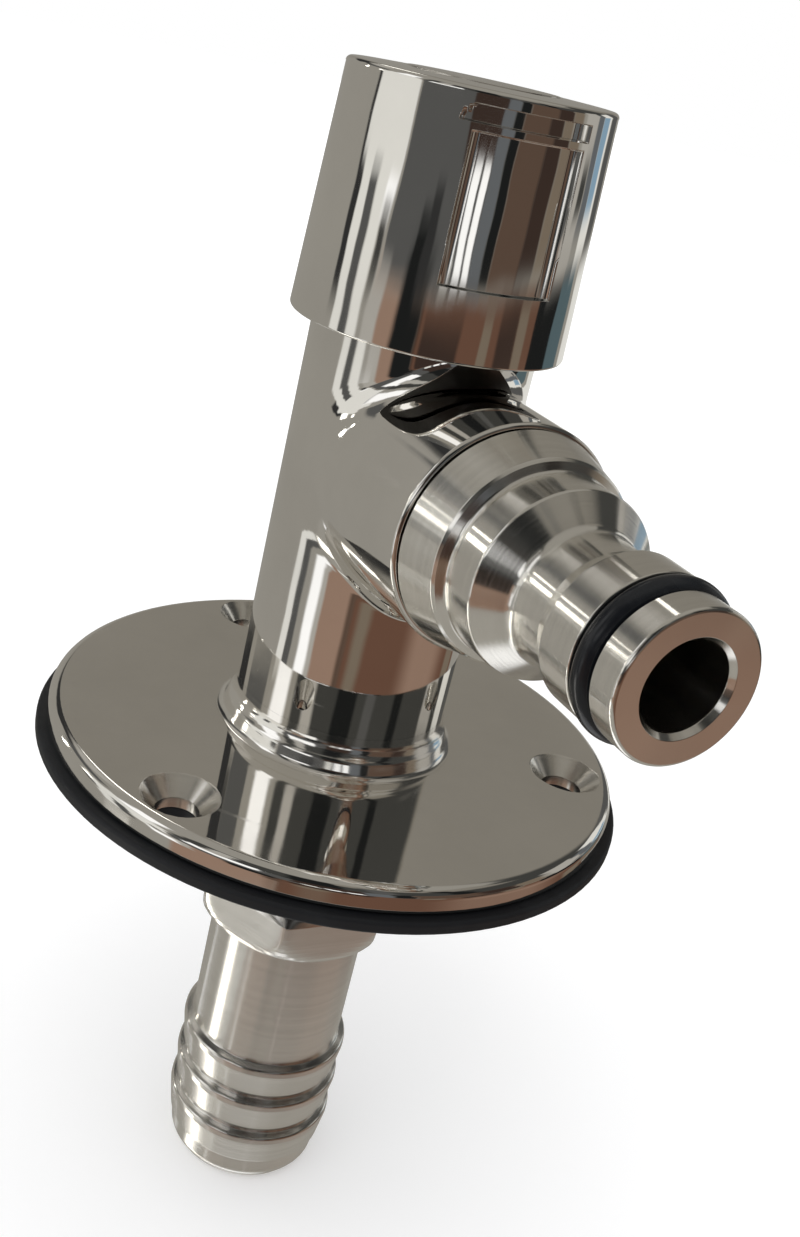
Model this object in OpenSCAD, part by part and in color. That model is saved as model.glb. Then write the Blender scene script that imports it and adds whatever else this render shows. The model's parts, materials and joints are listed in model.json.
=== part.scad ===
// Deck spigot: a flanged stand pipe with a quarter turn valve on top,
// a quick connect outlet on its side and a barbed hose tail below.
// Millimetres, +Z up. The origin is the centre of the gasket's underside,
// and the outlet points along -Y.

/* [Flange and gasket] */
// Diameter of the deck flange
flange_d = 74; // [66:1:90]
// Thickness of the deck flange
flange_t = 3.4; // [3:0.1:6]
// Radius of the flange's rounded top edge
flange_round = 1.4; // [0.6:0.1:2]
// Chamfer of the flange's lower edge
flange_chamfer = 0.6; // [0.2:0.1:1]
// Number of deck screw holes
screw_count = 3; // [3:1:6]
// Distance from a screw hole's centre to the flange's edge
screw_edge = 6.2; // [6:0.1:9]
// Diameter of a deck screw hole
screw_hole_d = 5.2; // [4:0.1:6]
// Depth of a screw hole's countersink
sink_depth = 2.1; // [1:0.1:2.5]
// Thickness of the gasket
gasket_t = 1.6; // [1:0.1:3]
// How far the gasket stands out beyond the flange
gasket_lip = 1.2; // [0:0.1:2]
// Clearance between the gasket and the stub that passes through it
gasket_gap = 0.5; // [0.3:0.1:1]

/* [Pipe and outlet boss] */
// Outer diameter of the stand pipe
tube_d = 27; // [26:0.5:32]
// Height of the stand pipe above the flange
tube_h = 55; // [44:0.5:80]
// Width of the weld bead at the foot of the pipe
weld_w = 2.2; // [1:0.1:3]
// Distance from the top of the pipe down to the outlet's axis
spout_drop = 18.2; // [16.4:0.2:24]
// Diameter of the outlet boss
boss_d = 26.8; // [25.5:0.1:27.8]
// Distance from the pipe's axis to the end of the outlet boss
boss_l = 26.4; // [24:0.2:34]
// Radius of the rounded rim of the outlet boss
boss_round = 0.5; // [0.2:0.1:1]
// Length of the stub below the flange's gasket
stub_l = 16; // [12:0.5:40]
// How much smaller the stub's radius is than the pipe's
stub_step = 0.5; // [0.2:0.1:1]
// Diameter of the three pipe threads
thread_d = 21; // [20:0.1:22]
// Diameter of the waterway below the valve seat
inlet_d = 12; // [8:0.5:13]
// Diameter of the waterway from the valve to the nozzle
side_way_d = 12; // [8:0.5:13]
// Height of the outlet's axis above the valve seat
seat_drop = 8.8; // [8.4:0.1:9.6]

/* [Hose tail] */
// Width across the flats of the hose tail's hexagon
tail_hex_af = 23.8; // [23:0.1:27]
// Height of the hose tail's hexagon
tail_hex_h = 8.3; // [6:0.1:12]
// Length of the hose tail's upper thread
tail_thread_l = 10; // [8:0.5:11]
// Diameter of the hose tail's plain stem
stem_d = 21; // [19:0.1:22]
// Length of the hose tail's plain stem, from the hexagon to the first barb
stem_l = 17.4; // [12:0.2:30]
// Number of barbs
barb_count = 3; // [2:1:6]
// Distance from one barb to the next
barb_pitch = 5.9; // [5:0.1:8]
// Height of a barb's crest over the stem
barb_rise = 1.1; // [0.8:0.1:1.6]
// Length of the hose tail's end below the last barb
tail_end_l = 8; // [6:0.1:10]
// Length of the plain lead at the hose tail's end, which the hose is started on
tail_lead_l = 2; // [1:0.1:2]
// Diameter of the hose tail's bore
tail_bore_d = 15; // [10:0.5:16]

/* [Outlet nozzle] */
// Length of the nozzle's conical collar
collar_l = 5.5; // [4:0.1:9]
// Diameter of the collar's outer end
collar_end_d = 23.6; // [22.6:0.1:24.6]
// Diameter of the first land
land_d = 21.2; // [19:0.1:22]
// Length of the first land
land_l = 4.0; // [3:0.1:8]
// Length of the shoulder cone between the first land and the neck
shoulder_l = 2.8; // [2:0.1:4]
// Diameter of the nozzle's neck, which the coupling's claws lock behind
neck_d = 14.8; // [13:0.1:15.4]
// Length of the nozzle's neck
neck_l = 4.9; // [4:0.1:8]
// Diameter of the second land
ring_d = 16.9; // [16.4:0.1:18]
// Length of the second land with its ramp
ring_l = 6.8; // [5:0.1:9]
// Diameter of the nose
nose_d = 16; // [15.6:0.1:16.4]
// Length of the nose in front of the O-ring
nose_l = 3.8; // [3:0.1:6]
// Chamfer of the nose's outer edge
nose_chamfer = 0.4; // [0.2:0.1:0.8]
// Diameter of the nozzle's bore
nozzle_bore_d = 9.4; // [7:0.1:10]
// Thickness of the nose's O-ring
oring_t = 2.5; // [2:0.1:3]
// How far the nose's O-ring stands out of the nose
oring_proud = 0.7; // [0.4:0.1:0.9]

/* [Knob] */
// Gap between the pipe and the knob's skirt
skirt_gap = 0.4; // [0.3:0.1:0.8]
// Thickness of the knob's skirt at its lower edge
skirt_wall = 2.45; // [2:0.05:4]
// How far the skirt laps over the pipe
skirt_lap = 2.3; // [1:0.1:4]
// How much smaller the knob's radius is at its top than at its lower edge
knob_taper = 0.95; // [0:0.05:1.4]
// Radius of the knob's rounded top edge
knob_round = 1.3; // [0.6:0.1:1.6]
// Depth of the well in the knob's top for the screw's head and the cap
well_depth = 4.5; // [4.2:0.1:6]
// Diameter of the cap in the knob's top
cap_d = 17.4; // [14:0.1:19]
// Thickness of the cap
cap_t = 1.1; // [0.8:0.1:1.2]
// Depth of the grip pockets at the knob's top
pocket_depth = 1.05; // [0.6:0.05:1.2]
// Angle that the floor of a grip pocket spans
pocket_angle = 24; // [15:1:60]
// Radius of the fillets at the sides of a grip pocket
pocket_fillet = 5.5; // [2:0.1:7]
// Distance from the knob's lower edge to the grip pockets
pocket_low = 7.9; // [6:0.1:12]
// Distance from the knob's top to the grip pockets
pocket_high = 4.4; // [4.2:0.1:6]
// Height of the slot above each grip pocket
slot_h = 1.9; // [1:0.1:2.1]
// Distance from the knob's top to the slots
slot_high = 1.8; // [1.6:0.1:2]
// Depth of the slots at the knob's top
slot_depth = 1.2; // [0.6:0.1:1.6]
// Angle that a slot spans
slot_angle = 58; // [40:1:80]
// Angle by which the pockets stand away from the outlet at rest
knob_turn = -5.5; // [-20:0.5:20]

/* [Valve] */
// Angle that the knob turns through from shut to open
turn_angle = 90; // [60:1:90]
// Thickness of each ceramic disc
disc_t = 3; // [2.5:0.1:3.2]
// Thickness of the rubber seal below the discs
seal_t = 2.5; // [2.2:0.1:2.6]
// Wall of the headwork's lower sleeve
sleeve_wall = 0.85; // [0.7:0.05:1.2]
// Diameter of the spindle's shaft
shaft_d = 10; // [9:0.1:10.6]
// Height of the spindle's stop collar
collar_h = 3.7; // [2.5:0.1:4]
// Thickness of the flat sealing and thrust washers
washer_t = 1; // [0.8:0.1:1.4]
// Height of the headwork's hexagon
head_hex_h = 5; // [4:0.1:7]
// Height of the headwork's neck above its hexagon
neck_h = 5; // [4:0.1:8]
// Diameter of the spindle's splines
spline_d = 8; // [7:0.1:8.4]
// Length of the spindle's splines
spline_l = 7.5; // [6:0.1:10]
// Number of splines
spline_count = 20; // [16:1:24]
// Thread diameter of the knob's screw
knob_screw_d = 5; // [4:0.1:5]

/* [Hidden] */
$fn = 64;

// Clearance of parts that are fixed in each other
fit = 0.05;
// Radial clearance of a shaft that turns in its bore
run_fit = 0.05;
// Clearance around parts that turn past each other
turn_gap = 0.3;
// Clearance of loose parts: washers, keys, the discs and the clip
loose = 0.1;
// Chamfer that breaks the sharp edges of turned parts
edge = 0.3;
// Overshoot of a cutting body past the face that it cuts
over = 1;
// Radius that is outside the whole object
far = 60;

// Radii of the pipe, its stub and its threads
tube_r = tube_d / 2;
stub_r = tube_r - stub_step;
thread_r = thread_d / 2;
boss_r = boss_d / 2;
flange_r = flange_d / 2;

// Heights along the pipe, and the depths of its lower thread and of the headwork's locating bore
flange_top = gasket_t + flange_t;
tube_top = flange_top + tube_h;
spout_z = tube_top - spout_drop;
seat_z = spout_z - seat_drop;
thread_depth = 12;
locate_h = 3;

// Headwork, from the seat upwards
sleeve_step = 1.25;
sleeve_r = thread_r - sleeve_step;
sleeve_in = sleeve_r - sleeve_wall;
sleeve_lift = 1;
sleeve_low = seat_z + sleeve_lift;
fixed_disc_z = seat_z + seal_t;
moving_disc_z = fixed_disc_z + disc_t;
leg_z = moving_disc_z + disc_t;
head_thread_l = 9;
shoulder_drop = 5;
head_shoulder = tube_top - shoulder_drop;
thrust_z = head_shoulder - washer_t;
collar_z = thrust_z - collar_h;
head_hex_z = tube_top + washer_t;
head_neck_z = head_hex_z + head_hex_h;
head_top = head_neck_z + neck_h;
head_hex_af = thread_d;
head_hex_corner = hex_corner(head_hex_af);
head_washer_lip = 0.8;
window_w = 9;
window_drop = 2.5;
key_w = 2;
key_l = 0.8;

// Spindle
shaft_r = shaft_d / 2;
neck_wall = 2.5;
head_neck_r = shaft_r + neck_wall;
collar_r = sleeve_in - turn_gap;
clip_t = 0.8;
clip_depth = 0.8;
clip_rim = 1.8;
clip_open = 35;
clip_z = head_top + loose;
clip_in = shaft_r - clip_depth;
clip_out = shaft_r + clip_rim;
spline_gap = 0.6;
spline_z = clip_z + clip_t + spline_gap;
spline_top = spline_z + spline_l;
spline_r = spline_d / 2;
spline_depth = 0.45;
spindle_oring_t = 1.8;
spindle_oring_proud = 0.02;
spindle_oring_r = shaft_r - spindle_oring_t / 2 + spindle_oring_proud;
spindle_oring_pitch = 4;
spindle_oring_zs = [for (i = [1, 2]) head_shoulder + i * spindle_oring_pitch];
leg_w = 8;
leg_l = 3.1;
leg_out = collar_r - loose;
leg_in = collar_r - leg_l;
tang_w = 3;
tang_h = 1.2;
tang_end_gap = 0.5;
rib_angle = 10;
rib_l = 1.9;
rib_in = collar_r - rib_l;
rib_turn = turn_angle / 2;
// The notch is 1 degree wider on each side than the knob's turn needs
notch_half = rib_turn + rib_angle / 2 + 1;
// Openings of the ceramic discs
opening_rim = 1.8;
opening_in = 2;
opening_half = 40;

// Knob
knob_low = tube_top - skirt_lap;
knob_bore = tube_r + skirt_gap;
knob_low_r = knob_bore + skirt_wall;
knob_top_r = knob_low_r - knob_taper;
web_z = spline_top;
web_t = 1.5;
well_z = web_z + web_t;
knob_top = well_z + well_depth;
top_fall = 0.3;
bore_step = 1.5;
bore_step_z = head_hex_z + bore_step;
hex_room = 0.65;
hex_room_r = head_hex_corner + hex_room;
room_drop = 1.5;
room_top = head_top - room_drop;
insert_wall = 2.5;
insert_r = spline_r + insert_wall;
insert_boss_wall = 2.5;
insert_boss_r = insert_r + insert_boss_wall;
cavity_step = 1.3;
cavity_r = hex_room_r - cavity_step;
cavity_roof = 7.5;
cavity_top = knob_top - cavity_roof;
well_r = cap_d / 2 + fit;
cap_skirt_wall = 1;
cap_skirt_gap = 1;

// Knob screw and its washer
screw_r = knob_screw_d / 2;
screw_room = 0.3;
screw_head_rim = 1.9;
screw_head_r = screw_r + screw_head_rim;
screw_head_h = 2;
screw_bite = 1;
screw_low = head_top - screw_bite;
screw_bore_low = screw_low - 0.5;
cross_l = 4.4;
cross_w = 0.9;
cross_depth = 1.2;
lock_t = 0.8;
lock_gap = 0.2;
lock_slit = 0.6;
pocket_floor = knob_top_r - pocket_depth;
slot_floor = knob_top_r - slot_depth;

// Outlet nozzle, distances from the pipe's axis
nozzle_thread_l = 10;
nozzle_in = boss_l - nozzle_thread_l;
side_seat = nozzle_in - washer_t;
collar_0 = boss_l + loose;
collar_1 = collar_0 + collar_l;
collar_step_l = 1.3;
land_0 = collar_1 + collar_step_l;
land_1 = land_0 + land_l;
neck_0 = land_1 + shoulder_l;
neck_1 = neck_0 + neck_l;
ramp_l = 2;
ring_1 = neck_1 + ring_l;
groove_w = oring_t + 6 * fit;
nose_0 = ring_1 + groove_w;
nose_1 = nose_0 + nose_l;
oring_out = nose_d / 2 + oring_proud;
oring_mid_r = oring_out - oring_t / 2;
groove_r = oring_out - oring_t - fit;
bore_chamfer = 0.5;

// Hose tail, heights below the gasket
tail_top = -stub_l - washer_t;
tail_hex_low = tail_top - tail_hex_h;
stem_r = stem_d / 2;
barb_face_h = 2;
barb_crest_w = 0.8;
barb_0 = tail_hex_low - stem_l - barb_face_h;
tail_low = barb_0 - (barb_count - 1) * barb_pitch - tail_end_l;
tail_round = 1.2;
tail_round_h = 1.6;
tail_corner = hex_corner(tail_hex_af);
tail_dome_h = 4.6;
tail_chamfer = 1.9;
tail_chamfer_h = 1.2;
tail_washer_inset = 0.6;

function polar(r, a) = [r * cos(a), r * sin(a)];
// Points of an arc around [x, y], from angle a0 to angle a1
function arc(x, y, r, a0, a1, steps = 6) =
    [for (i = [0:steps]) [x, y] + polar(r, a0 + (a1 - a0) * i / steps)];
// Radius of the circle through the corners of a hexagon
function hex_corner(af) = af / 2 / cos(30);

// Wedge around the Z axis from angle a0 to angle a1, less than 170 degrees
module wedge(a0, a1, h) {
    mid = (a0 + a1) / 2;
    linear_extrude(h)
        polygon([[0, 0], polar(far, a0), polar(2 * far, mid), polar(far, a1)]);
}

module ring(r_out, r_in, h) {
    difference() {
        cylinder(r = r_out, h = h);
        translate([0, 0, -over]) cylinder(r = r_in, h = h + 2 * over);
    }
}

module torus(mid_r, section_r) {
    rotate_extrude() translate([mid_r, 0]) circle(r = section_r);
}

// Turns a shape drawn along +Z into one along the outlet
module along_outlet() {
    translate([0, 0, spout_z]) rotate([90, 0, 0]) children();
}

module at_screw_holes() {
    for (i = [0:screw_count - 1])
        rotate([0, 0, 90 + i * 360 / screw_count])
            translate([flange_r - screw_edge, 0, 0]) children();
}

module body() {
    color("#b9b6ae")
    difference() {
        union() {
            translate([0, 0, -stub_l]) cylinder(r = stub_r, h = stub_l + gasket_t + over);
            translate([0, 0, gasket_t]) cylinder(r = tube_r, h = tube_top - gasket_t);
        }
        translate([0, 0, seat_z + locate_h]) cylinder(r = thread_r, h = tube_h);
        translate([0, 0, seat_z]) cylinder(r = sleeve_r + loose, h = locate_h + over);
        translate([0, 0, -stub_l]) cylinder(r = inlet_d / 2, h = stub_l + seat_z + over);
        translate([0, 0, -stub_l - over]) cylinder(r = thread_r, h = thread_depth + over);
        along_outlet() nozzle_bore();
    }
}

// Cutter of the side waterway and of the bore for the nozzle's thread and washer
module nozzle_bore() {
    cylinder(r = side_way_d / 2, h = boss_l + over);
    translate([0, 0, side_seat]) cylinder(r = thread_r, h = boss_l);
}

module outlet_boss() {
    color("#b9b6ae")
    difference() {
        along_outlet() rotate_extrude()
            polygon(concat([[0, 0], [boss_r, 0]],
                arc(boss_r - boss_round, boss_l - boss_round, boss_round, 0, 90),
                [[0, boss_l]]));
        translate([0, 0, spout_z - far]) cylinder(r = tube_r + fit, h = 2 * far);
        along_outlet() nozzle_bore();
    }
}

module flange_plate() {
    color("#b4b1a8")
    difference() {
        translate([0, 0, gasket_t]) rotate_extrude()
            polygon(concat([[tube_r + fit, 0]],
                [[flange_r - flange_chamfer, 0], [flange_r, flange_chamfer]],
                arc(flange_r - flange_round, flange_t - flange_round, flange_round, 0, 90),
                [[tube_r + fit, flange_t]]));
        at_screw_holes() {
            cylinder(d = screw_hole_d, h = flange_top + over);
            translate([0, 0, flange_top - sink_depth])
                cylinder(r1 = screw_hole_d / 2, r2 = screw_hole_d / 2 + sink_depth + over,
                    h = sink_depth + over);
        }
    }
}

module weld_bead() {
    color("#c0bdb4")
    translate([0, 0, flange_top]) rotate_extrude() translate([tube_r, 0])
        intersection() {
            circle(r = weld_w);
            translate([fit, 0]) square(weld_w);
        }
}

module deck_gasket() {
    color("#1c2024")
    difference() {
        ring(flange_r + gasket_lip, stub_r + gasket_gap, gasket_t);
        translate([0, 0, -over]) at_screw_holes()
            cylinder(d = screw_hole_d, h = gasket_t + 2 * over);
    }
}

// Outline of one barb: a steep face towards the stem, a crest and a gentle fall
function barb(z) = [[stem_r, z + barb_face_h], [stem_r + barb_rise / 2, z + barb_face_h / 2],
    [stem_r + barb_rise, z + barb_crest_w / 2], [stem_r + barb_rise, z - barb_crest_w / 2],
    [stem_r + barb_rise / 2, z - barb_pitch + barb_face_h + 2 * fit]];

module hose_tail() {
    barbs = [for (i = [0:barb_count - 1]) each barb(barb_0 - i * barb_pitch)];
    tail_rounding = [for (a = [0:30:90])
        [stem_r - tail_round * (1 - cos(a)), tail_low + tail_round_h * (1 - sin(a))]];
    color("#a9a79f")
    difference() {
        union() {
            translate([0, 0, tail_top - over])
                cylinder(r = thread_r - fit, h = tail_thread_l + over);
            intersection() {
                translate([0, 0, tail_hex_low])
                    cylinder(r = tail_corner, h = tail_hex_h, $fn = 6);
                tail_hex_rounding();
            }
            rotate_extrude()
                polygon(concat([[0, tail_top - over], [stem_r, tail_top - over]], barbs,
                    [[stem_r, tail_low + tail_round_h + tail_lead_l]], tail_rounding,
                    [[0, tail_low]]));
        }
        translate([0, 0, tail_low - over])
            cylinder(d = tail_bore_d, h = tail_top + tail_thread_l - tail_low + 2 * over);
    }
}

// Turned outline that rounds the hexagon's lower end and chamfers its upper end
module tail_hex_rounding() {
    dome = [for (a = [0:15:90])
        [stem_r + (tail_corner - stem_r) * sin(a), tail_hex_low + tail_dome_h * (1 - cos(a))]];
    rotate_extrude()
        polygon(concat([[0, tail_hex_low]], dome, [[tail_corner, tail_top - tail_chamfer_h],
            [tail_corner - tail_chamfer, tail_top], [0, tail_top]]));
}

module hose_tail_washer() {
    color("#7a3b2a")
    translate([0, 0, tail_top]) ring(stub_r - tail_washer_inset, thread_r + fit, washer_t);
}

module outlet_nozzle() {
    collar_r0 = boss_r - boss_round;
    collar_r1 = collar_end_d / 2;
    land_r = land_d / 2;
    neck_r = neck_d / 2;
    ring_r = ring_d / 2;
    nose_r = nose_d / 2;
    bore_r = nozzle_bore_d / 2;
    color("#aeaba3")
    along_outlet()
    difference() {
        rotate_extrude()
            polygon(concat([[0, nozzle_in], [thread_r - fit, nozzle_in], [thread_r - fit, collar_0],
                [collar_r0, collar_0], [collar_r1, collar_1 - edge], [collar_r1 - edge, collar_1],
                [land_r, land_0], [land_r, land_1], [neck_r, neck_0], [neck_r, neck_1],
                [ring_r, neck_1 + ramp_l], [ring_r, ring_1 - edge], [ring_r - edge, ring_1],
                [groove_r, ring_1], [groove_r, nose_0], [nose_r - edge, nose_0],
                [nose_r, nose_0 + edge], [nose_r, nose_1 - nose_chamfer],
                [nose_r - nose_chamfer, nose_1], [0, nose_1]]));
        translate([0, 0, nozzle_in - over]) cylinder(r = bore_r, h = nose_1);
        translate([0, 0, nose_1 - bore_chamfer])
            cylinder(r1 = bore_r, r2 = bore_r + bore_chamfer + over, h = bore_chamfer + over);
    }
}

module nozzle_washer() {
    color("#7a3b2a")
    along_outlet() translate([0, 0, side_seat])
        ring(thread_r - loose, side_way_d / 2 + loose, washer_t);
}

module nose_oring() {
    color("#1c2024")
    along_outlet() translate([0, 0, ring_1 + groove_w / 2]) torus(oring_mid_r, oring_t / 2);
}

module knob() {
    color("#b7b4ac")
    difference() {
        knob_shell();
        for (side = [0, 180]) rotate([0, 0, side - 90 + knob_turn]) {
            grip_pocket();
            grip_slot();
        }
    }
}

// Turned shell of the knob with its hollow, its insert's boss and the well in its top
module knob_shell() {
    rotate_extrude()
        polygon(concat([[knob_bore, knob_low], [knob_low_r - edge, knob_low]],
            [[knob_low_r, knob_low + edge]],
            arc(knob_top_r - knob_round, knob_top - top_fall - knob_round, knob_round, 0, 90),
            [[well_r, knob_top], [well_r, well_z], [screw_r + screw_room, well_z],
            [screw_r + screw_room, web_z], [insert_r, web_z], [insert_r, spline_z],
            [insert_boss_r, spline_z],
            [insert_boss_r, cavity_top], [cavity_r, cavity_top], [cavity_r, room_top],
            [hex_room_r, room_top], [hex_room_r, bore_step_z], [knob_bore, bore_step_z]]));
}

// Cutter of one grip pocket, centred on the +X side
module grip_pocket() {
    low = knob_low + pocket_low;
    half = pocket_angle / 2;
    translate([0, 0, low]) linear_extrude(knob_top - pocket_high - low) {
        difference() {
            polygon([polar(pocket_floor / 2, half), polar(far, half), polar(far, -half),
                polar(pocket_floor / 2, -half)]);
            circle(r = pocket_floor);
        }
        for (side = [-1, 1])
            translate(polar(pocket_floor + pocket_fillet - fit, side * half)) circle(r = pocket_fillet);
    }
}

// Cutter of the slot above a grip pocket, centred on the +X side
module grip_slot() {
    translate([0, 0, knob_top - slot_high - slot_h])
        intersection() {
            ring(far, slot_floor, slot_h);
            wedge(-slot_angle / 2, slot_angle / 2, slot_h);
        }
}

module knob_cap() {
    skirt_r = cap_d / 2 - fit;
    color("#bdbab2")
    union() {
        translate([0, 0, knob_top - cap_t]) cylinder(d = cap_d, h = cap_t);
        translate([0, 0, well_z + cap_skirt_gap])
            ring(skirt_r, skirt_r - cap_skirt_wall, well_depth - cap_t - cap_skirt_gap + fit);
    }
}

module knob_screw() {
    head_z = well_z + lock_t;
    color("#8f8d88")
    difference() {
        union() {
            translate([0, 0, head_z]) cylinder(r = screw_head_r, h = screw_head_h);
            translate([0, 0, screw_low]) cylinder(r = screw_r - fit, h = head_z - screw_low + fit);
        }
        for (turn = [0, 90]) rotate([0, 0, turn])
            translate([-cross_l / 2, -cross_w / 2, head_z + screw_head_h - cross_depth])
                cube([cross_l, cross_w, cross_depth + over]);
    }
}

module lock_washer() {
    color("#8f8d88")
    translate([0, 0, well_z]) difference() {
        ring(screw_head_r + lock_gap, screw_r + lock_gap, lock_t);
        translate([0, -lock_slit / 2, -over]) cube([far, lock_slit, lock_t + 2 * over]);
    }
}

// Outline of the splines: crest radius r, each tooth as deep as spline_depth
module spline_outline(r) {
    pitch = 360 / spline_count;
    polygon([for (i = [0:spline_count - 1], s = [0, 1])
        polar(r - s * spline_depth, (i + s / 2) * pitch)]);
}

module knob_insert() {
    color("#b08d3c")
    difference() {
        translate([0, 0, spline_z]) cylinder(r = insert_r - fit, h = spline_l);
        translate([0, 0, spline_z - over]) linear_extrude(spline_l + 2 * over)
            spline_outline(spline_r + fit);
    }
}

module headwork_body() {
    window_z = leg_z + turn_gap;
    window_h = collar_z - window_z - window_drop;
    color("#b08d3c")
    union() {
        difference() {
            union() {
                translate([0, 0, sleeve_low]) cylinder(r = sleeve_r, h = tube_top - sleeve_low);
                translate([0, 0, tube_top - head_thread_l])
                    cylinder(r = thread_r - fit, h = head_thread_l + washer_t + over);
                translate([0, 0, head_hex_z]) cylinder(r = head_hex_corner, h = head_hex_h, $fn = 6);
                translate([0, 0, head_neck_z - over]) cylinder(r = head_neck_r, h = neck_h + over);
            }
            translate([0, 0, sleeve_low - over])
                cylinder(r = sleeve_in, h = head_shoulder - sleeve_low + over);
            translate([0, 0, head_shoulder - over])
                cylinder(r = shaft_r + run_fit, h = head_top - head_shoulder + 2 * over);
            translate([-window_w / 2, -far, window_z]) cube([window_w, 2 * far, window_h]);
        }
        stop_rib();
        disc_keys();
    }
}

// Rib in the headwork that the notch in the spindle's collar turns against
module stop_rib() {
    h = head_shoulder - collar_z - turn_gap;
    translate([0, 0, collar_z + turn_gap]) rotate([0, 0, rib_turn]) intersection() {
        ring(sleeve_in + sleeve_wall / 2, rib_in, h);
        wedge(-rib_angle / 2, rib_angle / 2, h);
    }
}

// Two keys in the headwork's sleeve that hold the fixed disc
module disc_keys() {
    h = disc_t - 2 * loose;
    translate([0, 0, fixed_disc_z + loose]) intersection() {
        ring(sleeve_in + sleeve_wall / 2, sleeve_in - key_l, h);
        translate([-far, -key_w / 2, 0]) cube([2 * far, key_w, h]);
    }
}

module headwork_washer() {
    color("#7a3b2a")
    translate([0, 0, tube_top]) ring(head_hex_af / 2 + head_washer_lip, thread_r + fit, washer_t);
}

module spindle() {
    color("#c2a14d")
    difference() {
        union() {
            translate([0, 0, collar_z]) stop_collar();
            translate([0, 0, collar_z]) cylinder(r = shaft_r, h = spline_z - collar_z);
            translate([0, 0, spline_z - over]) linear_extrude(spline_l + over) spline_outline(spline_r);
            driving_legs(leg_w, leg_z, collar_z - leg_z);
            driving_legs(tang_w, leg_z - tang_h, tang_h + over);
        }
        for (z = spindle_oring_zs) translate([0, 0, z - spindle_oring_t / 2 - turn_gap])
            ring(far, spindle_oring_r - spindle_oring_t / 2 - fit, spindle_oring_t + 2 * turn_gap);
        translate([0, 0, clip_z - loose]) ring(far, clip_in, clip_t + 2 * loose);
        translate([0, 0, screw_bore_low]) cylinder(r = screw_r, h = far);
    }
}

// Cutter of the notch that lets the spindle turn from shut to open
module stop_notch(h) {
    translate([0, 0, -over]) intersection() {
        ring(far, rib_in - turn_gap, h + 2 * over);
        wedge(-notch_half, notch_half, h + 2 * over);
    }
}

module stop_collar() {
    difference() {
        cylinder(r = collar_r, h = collar_h);
        stop_notch(collar_h);
    }
}

// Pair of legs along Y that turn the moving disc
module driving_legs(w, z, h) {
    translate([0, 0, z]) intersection() {
        ring(leg_out, leg_in, h);
        translate([-w / 2, -far, 0]) cube([w, 2 * far, h]);
    }
}

module spindle_orings() {
    color("#1c2024")
    for (z = spindle_oring_zs) translate([0, 0, z]) torus(spindle_oring_r, spindle_oring_t / 2);
}

module spindle_clip() {
    color("#8f8d88")
    translate([0, 0, clip_z]) difference() {
        ring(clip_out, clip_in + fit, clip_t);
        translate([0, 0, -over]) wedge(-clip_open, clip_open, clip_t + 2 * over);
    }
}

module thrust_washer() {
    color("#e8e4d8")
    translate([0, 0, thrust_z]) difference() {
        ring(collar_r, shaft_r + loose, washer_t);
        stop_notch(washer_t);
    }
}

// Two opposite openings of a disc, centred on the X axis
module disc_openings(h) {
    for (side = [0, 180]) rotate([0, 0, side]) intersection() {
        ring(sleeve_in - opening_rim, opening_in, h);
        wedge(-opening_half, opening_half, h);
    }
}

module moving_disc() {
    color("#f0ede6")
    difference() {
        translate([0, 0, moving_disc_z]) cylinder(r = sleeve_in - turn_gap, h = disc_t);
        translate([0, 0, moving_disc_z - over]) disc_openings(disc_t + 2 * over);
        for (side = [0, 180]) rotate([0, 0, side])
            translate([-tang_w / 2 - loose, leg_in - tang_end_gap, leg_z - tang_h - loose])
                cube([tang_w + 2 * loose, far, tang_h + over]);
    }
}

module fixed_disc() {
    color("#f0ede6")
    difference() {
        translate([0, 0, fixed_disc_z]) cylinder(r = sleeve_in - loose, h = disc_t);
        rotate([0, 0, 90]) translate([0, 0, fixed_disc_z - over])
            disc_openings(disc_t + 2 * over);
        for (side = [0, 180]) rotate([0, 0, side])
            translate([sleeve_in - key_l - loose, -key_w / 2 - loose, fixed_disc_z - over])
                cube([far, key_w + 2 * loose, disc_t + 2 * over]);
    }
}

module seat_seal() {
    color("#1c2024")
    translate([0, 0, seat_z]) ring(sleeve_in - loose, inlet_d / 2, seal_t);
}

body();
outlet_boss();
flange_plate();
weld_bead();
deck_gasket();
hose_tail();
hose_tail_washer();
outlet_nozzle();
nozzle_washer();
nose_oring();
knob();
knob_cap();
knob_screw();
lock_washer();
knob_insert();
headwork_body();
headwork_washer();
spindle();
spindle_orings();
spindle_clip();
thrust_washer();
moving_disc();
fixed_disc();
seat_seal();
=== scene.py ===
import json
import math

import bpy
import numpy as np
from mathutils import Matrix, Vector


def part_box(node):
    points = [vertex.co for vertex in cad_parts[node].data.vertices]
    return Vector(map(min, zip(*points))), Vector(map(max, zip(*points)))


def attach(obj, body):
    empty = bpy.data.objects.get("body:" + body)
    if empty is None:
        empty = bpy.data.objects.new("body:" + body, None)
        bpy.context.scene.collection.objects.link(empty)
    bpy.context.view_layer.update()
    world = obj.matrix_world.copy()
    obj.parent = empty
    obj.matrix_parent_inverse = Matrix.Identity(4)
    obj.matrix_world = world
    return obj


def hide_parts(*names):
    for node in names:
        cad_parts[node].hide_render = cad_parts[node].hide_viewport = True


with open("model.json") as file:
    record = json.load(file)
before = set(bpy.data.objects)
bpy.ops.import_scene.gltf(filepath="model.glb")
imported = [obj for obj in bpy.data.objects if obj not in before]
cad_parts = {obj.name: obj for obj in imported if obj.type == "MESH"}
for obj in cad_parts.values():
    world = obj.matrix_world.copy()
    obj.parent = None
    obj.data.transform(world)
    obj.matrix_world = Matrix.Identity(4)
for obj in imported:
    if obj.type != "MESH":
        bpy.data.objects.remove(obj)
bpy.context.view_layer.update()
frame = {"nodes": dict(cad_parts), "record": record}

# One millimetre. Sizes below are in millimetres, and the meshes are made in metres.
MM = 0.001
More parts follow.
